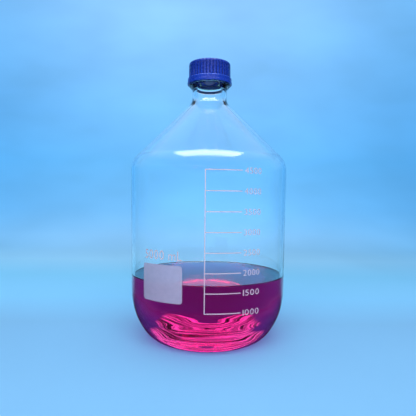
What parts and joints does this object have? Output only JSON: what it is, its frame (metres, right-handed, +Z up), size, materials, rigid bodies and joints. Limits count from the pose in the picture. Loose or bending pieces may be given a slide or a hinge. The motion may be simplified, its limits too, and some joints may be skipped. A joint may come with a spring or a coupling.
{
  "type": "media bottle",
  "caption": "Round clear laboratory bottle with a cone shoulder, a narrow neck, a ribbed blue screw cap, a printed volume scale and a purple-pink liquid inside.",
  "frame": {"origin": "on the table, under the bottle's axis, in the plane of its resting ring", "axes": "+Z up along the bottle's axis towards the cap; the upright line of the printed scale faces -Y; +X to the right seen from the front"},
  "size_m": [0.182, 0.1822, 0.3248],
  "materials": {
    "clear_glass": "clear, fire-polished",
    "purple_liquid": "clear dyed liquid",
    "blue_plastic": "satin moulded polypropylene",
    "seal_rubber": "matt silicone",
    "white_enamel": "thin fired enamel"
  },
  "bodies": {
    "bottle": {"glass_bottle": "clear_glass", "pouring_ring": "blue_plastic", "liquid": "purple_liquid", "volume_scale": "white_enamel", "writing_patch": "white_enamel"},
    "seal": {"cap_seal": "seal_rubber"},
    "cap": {"screw_cap": "blue_plastic"}
  },
  "joints": [
    {"name": "cap_lift", "type": "slide", "parent": "bottle", "child": "seal", "axis": [0, 0, 1], "range_m": [0, 0.0321]},
    {"name": "cap_turn", "type": "hinge", "parent": "seal", "child": "cap", "pos_m": [0, 0, 0.31], "axis": [0, 0, 1], "range_deg": [0, 2880]}
  ],
  "couplings": [
    {"joint": "cap_lift", "follows": "cap_turn", "m_per_rad": 0.00063662}
  ]
}
